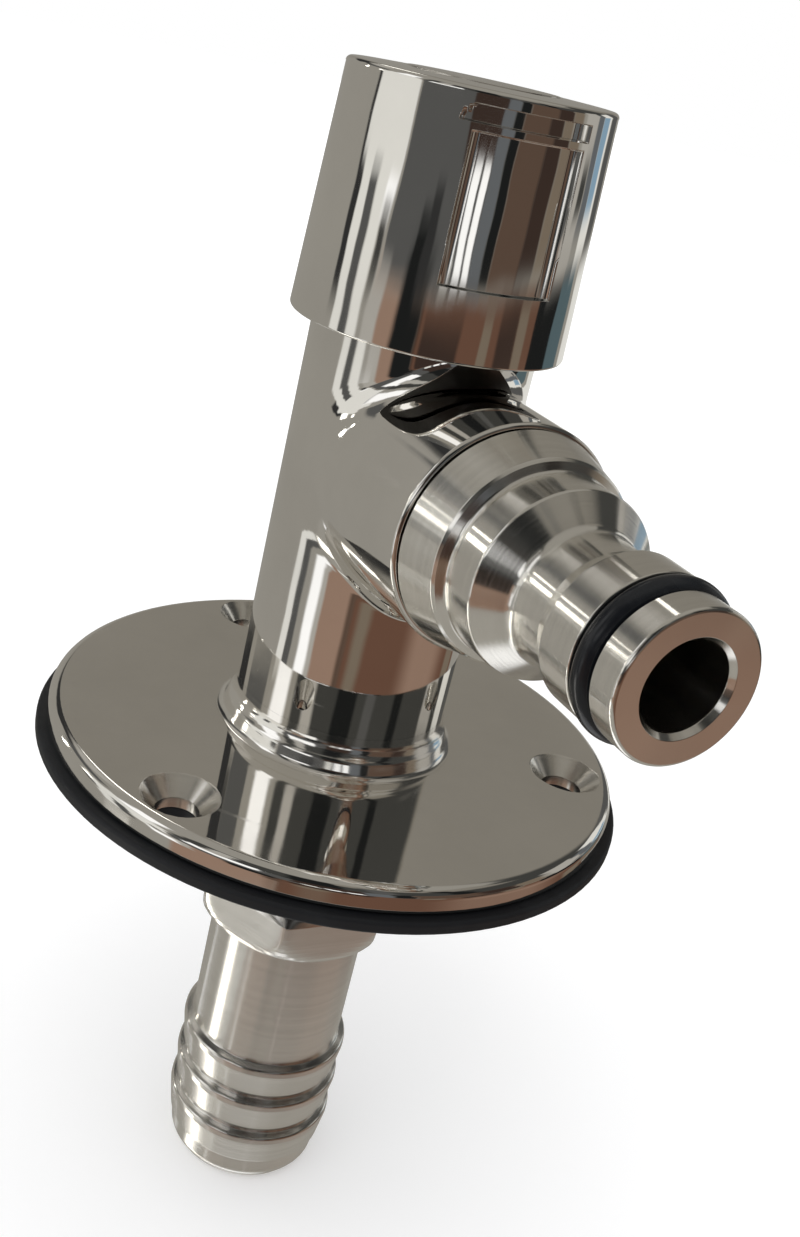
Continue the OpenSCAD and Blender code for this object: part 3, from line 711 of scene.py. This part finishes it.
def tail_nut(shell):
    """Hexagon with a domed underside and a bevelled top: a turned shape, cut by the six faces."""
    rise = [math.radians(angle) for angle in range(0, 91, 10)]
    dome_corners = [(STEM_R + (HEX_CORNER - STEM_R) * math.sin(angle),
                     HEX_LOW + HEX_DOME * (1 - math.cos(angle))) for angle in rise]
    points, normals = outline(dome_corners + [(HEX_CORNER, HEX_TOP - HEX_BEVEL_HIGH, 0.3),
                                              (HEX_CORNER - HEX_BEVEL, HEX_TOP, 0.2),
                                              (STEM_R - 0.2, HEX_TOP)])
    angles = circle(HEX_STEPS)
    sides = hexagon(angles)
    grid, _ = turned(points, normals, angles)
    free = points[:, :1]
    gap = np.abs(free - sides) / CUT_SOFT
    radius = np.minimum(free, sides) - CUT_SOFT * np.log1p(np.exp(-gap))
    # The lowest points lie on the stem and aren't cut
    radius = np.where(free < STEM_R + 0.02, free, radius)
    turn = np.radians(angles)
    grid[..., 0], grid[..., 1] = radius * np.cos(turn), radius * np.sin(turn)
    across = np.roll(grid, -1, axis=1) - np.roll(grid, 1, axis=1)
    along = np.gradient(grid, axis=0)
    facing = np.cross(across, along)
    facing = facing / np.linalg.norm(facing, axis=-1, keepdims=True)
    shell.grid(grid, facing)


def tail():
    end = tail_low[2]
    barbs = [(STEM_R, HEX_LOW)]
    for index in range(BARB_COUNT):
        crest = BARB_FIRST - index * BARB_PITCH
        barbs += [(STEM_R, crest + 1.3, 0.25), (BARB_R - 0.05, crest + 0.9, 0.45), (BARB_R, crest, 0.5),
                  (STEM_R + 0.55, crest - BARB_PITCH + 2.3, 0.2)]
    lead = BARB_FIRST - BARB_COUNT * BARB_PITCH + 1.9
    barbs += [(STEM_R, lead, 0.2), (STEM_R, end + 1.6, LEAD_BEVEL),
              (STEM_R - LEAD_BEVEL, end, TAIL_EDGE), (TAIL_BORE_R, end, TAIL_EDGE),
              (TAIL_BORE_R, HEX_TOP)]
    shell = Shell("tail")
    tail_nut(shell)
    shell.grid(*turned(*outline(barbs[::-1]), circle(TAIL_STEPS)))
    shell.build("stand", "turned_tail", [tail_steel], "hose_tail")


# Knob and its cap

KNOB_LOW = knob_low[2]
KNOB_TOP = knob_high[2]
KNOB_TOP_R = KNOB_R - 0.95
WALL_LOW = KNOB_LOW + 0.3
WALL_HIGH = KNOB_TOP - 1.6
WELL_R = cap_high[0] + 0.05
# Grip pockets: direction of the middle and half the width in degrees, depth, fillets and heights
GRIP_AT = -95.5
GRIP_HALF = 21.0
GRIP_DEPTH = 1.05
GRIP_FILLET = 1.1
GRIP_LOW = KNOB_LOW + 7.9
GRIP_HIGH = KNOB_TOP - 4.4
# Slots above the pockets: heights, depth, sides in degrees, and how far the left side leans
SLOT_LOW = KNOB_TOP - 3.7
SLOT_HIGH = KNOB_TOP - 1.8
SLOT_DEPTH = 1.25
SLOT_LEFT = -31.0
SLOT_RIGHT = 27.0
SLOT_LEAN = 5.0
SLOT_SIDE = 1.5
# Heights over which the floors of pocket and slot rise to the wall, the pocket's top being softer
STEP = 0.12
SOFT_STEP = 0.25
# Width over which a pocket runs into the wall, how far past the wall its side is still cut, and
# a distance beyond that, for directions in which there is no side
POCKET_SOFT = 0.2
SIDE_END = 1.5
SIDE_OUTSIDE = 3
# The knob's columns are fine between these angles from a pocket's middle, and coarse elsewhere
FINE_FROM = 16
FINE_TO = 34
FINE_COLUMN = 0.25
COARSE_COLUMN = 2
# Rows of the wall, and rows near each edge, from just below it to past its rise
WALL_ROWS = 40
EDGE_ROWS = np.linspace(-0.05, 0.3, 10)
# Inside of the knob: radii, the skirt's gap round the pipe, depths under the knob's top, and
# heights of the room for the headwork's hexagon
SCREW_HOLE_R = 2.8
INSERT_R = 6.5
HUB_R = 9.0
SHELF_R = 11.5
ROOM_R = 12.8
SKIRT_GAP = 0.4
WELL_DEPTH = 4.5
WEB_DEPTH = 6.0
SHELF_DEPTH = 7.5
HUB_DEPTH = 13.5
ROOM_LOW = 62.5
ROOM_TOP = 69.5


def wall_radius(heights):
    return KNOB_R + (KNOB_TOP_R - KNOB_R) * (heights - WALL_LOW) / (WALL_HIGH - WALL_LOW)


def knob_cut(turns, heights):
    """Depth of the grip pockets and slots in the knob's wall, at angles from a pocket's middle."""
    wall = wall_radius(heights)
    beyond = np.radians(np.maximum(np.abs(turns) - GRIP_HALF, 0))
    centre = wall - GRIP_DEPTH + GRIP_FILLET
    sine = np.minimum(centre * np.sin(beyond), GRIP_FILLET)
    side = centre * np.cos(beyond) - np.sqrt(GRIP_FILLET ** 2 - sine ** 2)
    side = np.where(centre * np.sin(beyond) >= GRIP_FILLET, wall + SIDE_OUTSIDE, side)
    pocket = wall - (wall + side - np.hypot(wall - side, POCKET_SOFT)) / 2
    pocket = np.where(side > wall + SIDE_END, 0, pocket)
    in_pocket = ease(heights, GRIP_LOW, STEP) * (1 - ease(heights, GRIP_HIGH - SOFT_STEP, SOFT_STEP))
    rise = (heights - SLOT_LOW) / (SLOT_HIGH - SLOT_LOW)
    left = SLOT_LEFT + SLOT_LEAN * np.clip(rise, 0, 1) ** 2
    in_slot = ease(turns, left, SLOT_SIDE) * (1 - ease(turns, SLOT_RIGHT - SLOT_SIDE, SLOT_SIDE))
    in_slot = in_slot * ease(heights, SLOT_LOW, STEP) * (1 - ease(heights, SLOT_HIGH - STEP, STEP))
    return np.maximum(pocket * in_pocket, SLOT_DEPTH * in_slot)


def knob_columns():
    """Angles around the knob, closer together where the pockets' and slots' edges are."""
    half = np.concatenate([np.arange(0, FINE_FROM, COARSE_COLUMN),
                           np.arange(FINE_FROM, FINE_TO, FINE_COLUMN),
                           np.arange(FINE_TO, 90, COARSE_COLUMN)])
    quarter = np.concatenate([-half[:0:-1], half])
    return np.concatenate([quarter, [90.0], quarter + 180])


def outer_radius(turns, heights):
    return wall_radius(heights) - knob_cut(turns, heights)


def knob_wall(shell, turns, angles, first, last):
    """Outer wall with its pockets and slots, with rows closer together where these begin and end."""
    edges = [GRIP_LOW, GRIP_HIGH - SOFT_STEP, SLOT_LOW, SLOT_HIGH - STEP]
    levels = np.concatenate([np.linspace(first, last, WALL_ROWS)]
                            + [edge + EDGE_ROWS for edge in edges])
    levels = np.unique(np.round(levels[(levels > first) & (levels < last)], 4))
    heights, spread = np.meshgrid(np.concatenate([[first], levels, [last]]), turns, indexing="ij")
    # The normals follow the slope of the wall over these steps, in degrees and millimetres
    reach_turn, reach_up = 0.05, 0.01
    here = outer_radius(spread, heights)
    by_turn = outer_radius(spread + reach_turn, heights) - outer_radius(spread - reach_turn, heights)
    by_turn = by_turn / math.radians(2 * reach_turn)
    by_up = outer_radius(spread, heights + reach_up) - outer_radius(spread, heights - reach_up)
    by_up = by_up / (2 * reach_up)
    cos, sin = np.cos(np.radians(angles)), np.sin(np.radians(angles))
    grid = np.stack([here * cos, here * sin, heights], -1)
    facing = np.stack([cos + by_turn / here * sin, sin - by_turn / here * cos, -by_up], -1)
    shell.grid(grid, facing / np.linalg.norm(facing, axis=-1, keepdims=True))


def knob():
    columns = knob_columns()
    angles = columns + GRIP_AT
    turns = (columns + 90) % 180 - 90
    bore = PIPE_R + SKIRT_GAP
    well, web = KNOB_TOP - WELL_DEPTH, KNOB_TOP - WEB_DEPTH
    shelf, hub = KNOB_TOP - SHELF_DEPTH, KNOB_TOP - HUB_DEPTH
    below = [(ROOM_R, ROOM_LOW), (bore, ROOM_LOW), (bore, KNOB_LOW, 0.15), (KNOB_R, KNOB_LOW, 0.3),
             (KNOB_TOP_R, WALL_HIGH)]
    above = [(KNOB_R, WALL_LOW), (KNOB_TOP_R, KNOB_TOP - 0.35, 0.6), (WELL_R, KNOB_TOP - 0.08, SHARP),
             (WELL_R, well), (SCREW_HOLE_R, well), (SCREW_HOLE_R, web), (INSERT_R, web),
             (INSERT_R, hub), (HUB_R, hub), (HUB_R, shelf), (SHELF_R, shelf), (SHELF_R, ROOM_TOP),
             (ROOM_R, ROOM_TOP), (ROOM_R, ROOM_LOW)]
    # The end of the one outline and the start of the other only give the slope of the wall
    low_points, low_normals = [values[:-1] for values in outline(below)]
    top_points, top_normals = [values[1:] for values in outline(above, step=8)]
    # The skirt's inside and half its foot have the rough finish, whose dark colour is painted shade
    outer = int(np.argmax(low_points[:, 0] > (bore + KNOB_R) / 2))
    shell = Shell("grip_knob")
    shell.grid(*turned(low_points[:outer + 1], low_normals[:outer + 1], angles), slot=1)
    shell.grid(*turned(low_points[outer:], low_normals[outer:], angles))
    knob_wall(shell, turns, angles, low_points[-1][1], top_points[0][1])
    shell.grid(*turned(top_points, top_normals, angles))
    shell.build("handle", "polished_knob", [knob_steel, rough_painted_shade_steel], "knob")


def cap():
    r, top, low = cap_high[0], cap_high[2], cap_high[2] - 1.1
    skirt_r, skirt_in, skirt_low = r - 0.05, r - 1.05, cap_low[2]
    corners = [(0, low), (skirt_in, low), (skirt_in, skirt_low), (skirt_r, skirt_low), (skirt_r, low),
               (r, low), (r, top, SHARP), (0, top)]
    shell = Shell("cap")
    shell.grid(*turned(*outline(corners), circle(RING_STEPS)))
    shell.build("handle", "knob_cap_metal", [cap_steel], "knob_cap")


# Inner parts keep their CAD meshes

# Slot, colour, roughness, metallic share and scale of the grain
INNER_FINISHES = [
    ("headwork_brass", (196, 164, 92), 0.35, 1.0, 600),
    ("spindle_brass", (206, 178, 110), 0.30, 1.0, 600),
    ("small_steel", (176, 174, 170), 0.35, 1.0, 600),
    ("fibre", (122, 62, 44), 0.75, 0.0, 1800),
    ("washer_plastic", (232, 228, 216), 0.45, 0.0, 600),
    ("ceramic", (240, 237, 230), 0.25, 0.0, 300),
]


def dress_inner_parts():
    finishes = {"oring_rubber": ring_rubber}
    for slot, colour, rough, metallic, grain in INNER_FINISHES:
        finishes[slot] = machined(slot, srgb(*colour), rough, metallic, grain)
    slots = {part["node"]: part["material_slot"] for part in frame["record"]["subparts"]}
    for name, piece in frame["nodes"].items():
        if piece.hide_render:
            continue
        for index in range(len(piece.material_slots)):
            piece.material_slots[index].material = finishes[slots[name]]


# Studio

# Tones of the studio's reflector cards, from 0 to 255, and over 255 for a lamp
TONES = {
    "bright lamp": (720, 713, 691),
    "lamp": (400, 396, 384),
    "white": (250, 250, 250),
    "pale": (214, 213, 208),
    "light": (162, 159, 153),
    "bench": (148, 145, 138),
    "grey": (124, 120, 112),
    "slate": (92, 95, 98),
    "charcoal": (80, 80, 79),
    "dim": (60, 60, 58),
    "shade": (46, 46, 46),
    "black": (27, 28, 28),
    "tan": (112, 101, 88),
    "pale wood": (140, 116, 101),
    "red wood": (96, 70, 57),
    "brown": (84, 68, 58),
    "dark wood": (54, 43, 38),
    "blue": (124, 151, 171),
    "teal": (78, 94, 99),
}
# Reflector cards on the studio's dome, from the back one to the front one:
# name, azimuths from and to, elevations from and to, soft edge in degrees, tone
REFLECTORS = [
    ("bench", 0, 360, -100, -36.5, 2, "bench"),
    ("bright bench", 0, 360, -100, -72, 6, "white"),
    ("wood floor", 232, 373, -36.5, -4.5, 1, "red wood"),
    ("pale boards", 190, 232, -36, -4.2, 3, "pale wood"),
    ("dark boards", 236, 266, -17, -5.5, 3, "dark wood"),
    ("dark plank", 298, 315, -14, -4.9, 3, "dark wood"),
    ("tan plank", 283, 291, -12, -4.9, 2, "tan"),
    ("pale plank", 315, 324, -14, -4.9, 2, "tan"),
    ("worn floor", 358, 370, -34, -14, 4, "tan"),
    ("dark joint", 228, 234, -34, -17, 5, "brown"),
    ("grey board", 240, 252, -34, -17, 8, "tan"),
    ("sunlit floor", 300, 345, -34, -17, 24, "pale wood"),
    ("dark ceiling", 190, 405, 17, 52, 4, "dim"),
    ("pale ceiling", 256, 345, 43, 56, 5, "grey"),
    ("far wall", 26, 80, 10, 60, 24, "grey"),
    ("charcoal wall", 192, 274, -4.4, 18, 1, "charcoal"),
    ("pale skirting", 188, 200, -30, -4.2, 3, "light"),
    ("high window", 198, 226, 7, 21, 2, "white"),
    ("dark cupboard", 213, 233, -17, -3.4, 5, "black"),
    ("cupboard gap", 215, 224, -17, -1.2, 2, "black"),
    ("cupboard door", 222, 229, -4.6, 0, 2, "shade"),
    ("dark door edge", 149, 156, -6.6, 4.5, 2, "shade"),
    ("pale door", 156, 165, -32, 24, 2, "pale"),
    ("grey door", 165, 173, -32, 18, 2, "charcoal"),
    ("window", 173, 183, -16, 14, 3, "pale"),
    ("window light", 182, 190, -1.8, 14, 2, "white"),
    ("window post", 184, 189, -5, -1.8, 2, "dim"),
    ("low window", 182, 194, -30, -14, 4, "white"),
    ("bench lamp", 154, 168, -100, -35, 3, "lamp"),
    ("bench strip", 193, 197, -70, -37, 1.5, "pale"),
    ("bench spot", 259, 262, -70, -37, 1.5, "light"),
    ("bright blind", 152, 190, -0.4, 17, 1.5, "pale"),
    ("dark lintel", 238, 265, 1.5, 18, 1, "dark wood"),
    ("tall window", 241, 247, -4, 1.5, 1, "pale"),
    ("second window", 249.5, 255.5, -4, 1.5, 1, "white"),
    ("third window", 257.5, 263, -4, 1.5, 1, "white"),
    ("slate wall", 264, 274, -4.2, 18, 2, "slate"),
    ("door frame", 274, 282, -4.2, 20, 1.5, "black"),
    ("brown cupboard", 282, 308, -4.4, 18, 2, "brown"),
    ("dark shelf", 307, 323, -4.2, 18, 3, "dark wood"),
    ("warm wall", 323, 335, -4.2, 18, 3, "tan"),
    ("black skirting", 332, 356, -14, -4.3, 1, "black"),
    ("black post", 334, 339, -4.4, -2, 1.5, "black"),
    ("pale curtain", 339, 356, -4.3, 26, 3, "light"),
    ("curtain fold", 348, 355, -2, 0.5, 2, "dim"),
    ("blue wall", 356, 365, -3, 20, 2, "slate"),
    ("teal floor", 355, 374, -12, -4.4, 1.5, "teal"),
    ("blue window", 365, 380, -4.4, 26, 2, "pale"),
    ("blue glass", 365, 376, -2.4, 6, 2, "blue"),
    ("dark corner", 381, 397, -4.6, 26, 3, "charcoal"),
    ("white wall", 381, 425, -14, -5, 2, "pale"),
    ("upper window", 163, 182, 18, 44, 5, "white"),
    ("pale beam", 202, 213, 18, 48, 4, "light"),
    ("black beam", 235, 256, 18, 48, 4, "black"),
    ("grey panel", 266, 276, 18, 48, 4, "charcoal"),
    ("black panel", 298, 308, 18, 48, 4, "black"),
    ("ceiling lamp", 76.5, 82, 35, 50, 1.5, "lamp"),
    ("pale panel", 94, 126, 37, 50, 4, "light"),
    ("dark beam behind", 77, 106, 22, 35, 3, "shade"),
    ("high beam behind", 104, 116, 29, 35, 3, "shade"),
    ("grey beam behind", 116, 150, 24, 35, 3, "charcoal"),
    ("strip lamp", 147, 151, 13.4, 15.2, 0.6, "lamp"),
    ("wide window", 146.5, 152, 4.6, 9.6, 1, "lamp"),
    ("lamp stem", 129, 131, 8, 14, 0.8, "white"),
    ("narrow strip lamp", 129, 132, 13.4, 15.2, 0.6, "bright lamp"),
    ("narrow window", 129, 132, 4.8, 9.4, 0.8, "bright lamp"),
    ("low strip", 112, 118, -50, -38, 1.5, "white"),
]
ROOM_TONE = (141, 138, 131)
# The dome's radius in metres, and the height of its middle in millimetres
DOME_R = 1.4
DOME_MIDDLE = 35
# Rows of the dome are fine between these elevations, where the upright steel mirrors it
FINE_ROW = 0.25
FINE_ROWS_FROM = -12
FINE_ROWS_TO = 4
COARSE_ROW = 1.5
DOME_COLUMN = 0.5
# The steel mirrors this share of the light, so the cards are as much brighter than their tones
MIRRORED = 0.9
# Waves of the cards' upright edges, as polished steel mirrors them: size in degrees, and counts
# by elevation and by azimuth
EDGE_WAVES = ((0.8, 24, 3), (0.8, 9, 0), (0.4, 80, 5))


def dome_tones(azimuths, rises):
    """Colour of the dome in each direction, in which later cards cover the earlier ones."""
    wave = sum(size * np.sin(np.radians(by_rise * rises + by_azimuth * azimuths))
               for size, by_rise, by_azimuth in EDGE_WAVES)
    tones = np.ones(azimuths.shape + (1,)) * np.array(srgb(*ROOM_TONE)[:3])
    for _, start, stop, low, high, soft, tone in REFLECTORS:
        off = np.abs((azimuths + wave - (start + stop) / 2 + 180) % 360 - 180)
        across = 1 - ease(off, (stop - start - soft) / 2, soft)
        if stop - start >= 360:
            across = 1.0
        upward = ease(rises, low - soft / 2, soft) * (1 - ease(rises, high - soft / 2, soft))
        cover = (across * upward)[..., None]
        tones = tones * (1 - cover) + np.array(srgb(*TONES[tone])[:3]) * cover
    return tones / MIRRORED


def dome():
    """Dome around the object with the reflector cards on it, which only the steel mirrors."""
    levels = np.concatenate([np.arange(-90, FINE_ROWS_FROM, COARSE_ROW),
                             np.arange(FINE_ROWS_FROM, FINE_ROWS_TO, FINE_ROW),
                             np.arange(FINE_ROWS_TO, 91, COARSE_ROW), [90]])
    azimuths, rises = np.meshgrid(np.arange(0, 360, DOME_COLUMN), levels, indexing="ij")
    tones = dome_tones(azimuths, rises)
    rise, turn = np.radians(rises), np.radians(azimuths)
    out = np.cos(rise)
    grid = np.stack([out * np.cos(turn), out * np.sin(turn), np.sin(rise)], -1) * DOME_R
    index = np.arange(grid.shape[0] * grid.shape[1]).reshape(grid.shape[:2])
    after = np.roll(index, -1, axis=0)
    quads = np.stack([index[:, :-1], after[:, :-1], after[:, 1:], index[:, 1:]], -1).reshape(-1, 4)
    mesh = bpy.data.meshes.new("dome")
    mesh.from_pydata(grid.reshape(-1, 3).tolist(), [], quads.tolist())
    layer = mesh.color_attributes.new("tone", "FLOAT_COLOR", "POINT")
    opaque = np.ones(tones.shape[:2] + (1,))
    layer.data.foreach_set("color", np.concatenate([tones, opaque], -1).ravel())
    shell = bpy.data.objects.new("dome", mesh)
    shell.location = (0, 0, DOME_MIDDLE * MM)
    bpy.context.collection.objects.link(shell)
    material = bpy.data.materials.new("dome")
    material.use_nodes = True
    nodes = Nodes(material.node_tree)
    nodes.tree.nodes.clear()
    tone = nodes.add("VertexColor", {"layer_name": "tone"}).outputs["Color"]
    glow = nodes.add("Emission", Color=tone).outputs[0]
    nodes.add("OutputMaterial", Surface=glow)
    mesh.materials.append(material)
    shell.visible_camera = False
    shell.visible_diffuse = False
    shell.visible_shadow = False
    shell.visible_transmission = False


# Half the floor's width in metres, and its gap below the object in millimetres
FLOOR_HALF = 3.0
FLOOR_GAP = 0.05
# The floor's glow near the object and far from it: distance in metres, and strength
NEAR_GLOW = (0.15, 0.22)
FAR_GLOW = (0.7, 0.5)
# What lights the object from all sides, and what the camera sees there
ROOM_LIGHT = (0.82, 0.82, 0.82, 1)
WHITE = (1, 1, 1, 1)
# Softbox above the object: size in metres, power in watts, and place in metres
LAMP_SIZE = 1.0
LAMP_POWER = 5.0
LAMP_AT = (-0.7, -0.5, 1.3)


def floor_paint():
    """Pale floor that glows a little for the camera, more with the distance, and keeps the shadow."""
    paint = Finish("pale_floor")
    tone = paint.blend(paint.noise(scale=3, detail=3.0), srgb(250, 250, 250), srgb(247, 247, 248))
    distance = paint.add("VectorMath", {"operation": "LENGTH"}, i0=paint.place).outputs["Value"]
    lift = paint.add("MapRange", {"interpolation_type": "SMOOTHSTEP"}, Value=distance,
                     From_Min=NEAR_GLOW[0], From_Max=FAR_GLOW[0], To_Min=NEAR_GLOW[1],
                     To_Max=FAR_GLOW[1]).outputs["Result"]
    paint.set(Base_Color=tone, Roughness=0.9, Specular_IOR_Level=0.0, Emission_Color=WHITE,
              Emission_Strength=paint.math("MULTIPLY", lift, paint.seen()))
    return paint.material


def studio():
    dome()

    floor_mesh = bpy.data.meshes.new("floor")
    level = (tail_low[2] - FLOOR_GAP) * MM
    corners = [(x * FLOOR_HALF, y * FLOOR_HALF, level) for x, y in ((-1, -1), (1, -1), (1, 1), (-1, 1))]
    floor_mesh.from_pydata(corners, [], [(0, 1, 2, 3)])
    floor_mesh.materials.append(floor_paint())
    floor = bpy.data.objects.new("floor", floor_mesh)
    bpy.context.collection.objects.link(floor)
    floor.visible_glossy = False

    world = bpy.data.worlds.new("studio")
    bpy.context.scene.world = world
    world.use_nodes = True
    nodes = Nodes(world.node_tree)
    nodes.tree.nodes.clear()
    tone = nodes.blend(nodes.seen(), ROOM_LIGHT, WHITE)
    sky = nodes.add("Background", Color=tone).outputs[0]
    nodes.add("OutputWorld", Surface=sky)

    lamp_data = bpy.data.lights.new("softbox", "AREA")
    lamp_data.shape = "SQUARE"
    lamp_data.size = LAMP_SIZE
    lamp_data.energy = LAMP_POWER
    lamp = bpy.data.objects.new("softbox", lamp_data)
    lamp.location = LAMP_AT
    lamp.rotation_euler = (-lamp.location).to_track_quat("-Z", "Y").to_euler()
    lamp.visible_glossy = False
    bpy.context.collection.objects.link(lamp)


# Camera at the photograph's viewing angle

# Places are in millimetres, the roll in degrees, the focal length and centre in the photograph's
# pixels, the sensor's width in millimetres, and the near clip in metres
CAMERA_AT = Vector((-83.554, -142.130, 90.270))
CAMERA_AIM = Vector((-10.170, -6.698, 31.126))
CAMERA_ROLL = 12.432
CAMERA_FOCAL = 1407.884
CAMERA_CENTRE = (325.788, 556.355)
SENSOR_WIDTH = 36.0
CLIP_START = 0.005


def camera():
    data = bpy.data.cameras.new("camera")
    data.sensor_width = SENSOR_WIDTH
    data.lens = CAMERA_FOCAL * SENSOR_WIDTH / PHOTO_HEIGHT
    data.shift_x = (PHOTO_WIDTH / 2 - CAMERA_CENTRE[0]) / PHOTO_HEIGHT
    data.shift_y = (CAMERA_CENTRE[1] - PHOTO_HEIGHT / 2) / PHOTO_HEIGHT
    data.clip_start = CLIP_START
    ahead = (CAMERA_AIM - CAMERA_AT).normalized()
    level = ahead.cross(Vector((0, 0, 1))).normalized()
    upright = level.cross(ahead)
    roll = math.radians(CAMERA_ROLL)
    right = level * math.cos(roll) + upright * math.sin(roll)
    up = upright * math.cos(roll) - level * math.sin(roll)
    turn = Matrix((right, up, -ahead)).transposed()
    view = bpy.data.objects.new("camera", data)
    view.matrix_world = Matrix.Translation(CAMERA_AT * MM) @ turn.to_4x4()
    bpy.context.collection.objects.link(view)
    bpy.context.scene.camera = view


stand_pipe()
flange()
gasket()
weld()
nozzle()
nose_ring()
tail()
knob()
cap()
dress_inner_parts()
studio()
camera()
bpy.context.scene.view_settings.view_transform = "Standard"
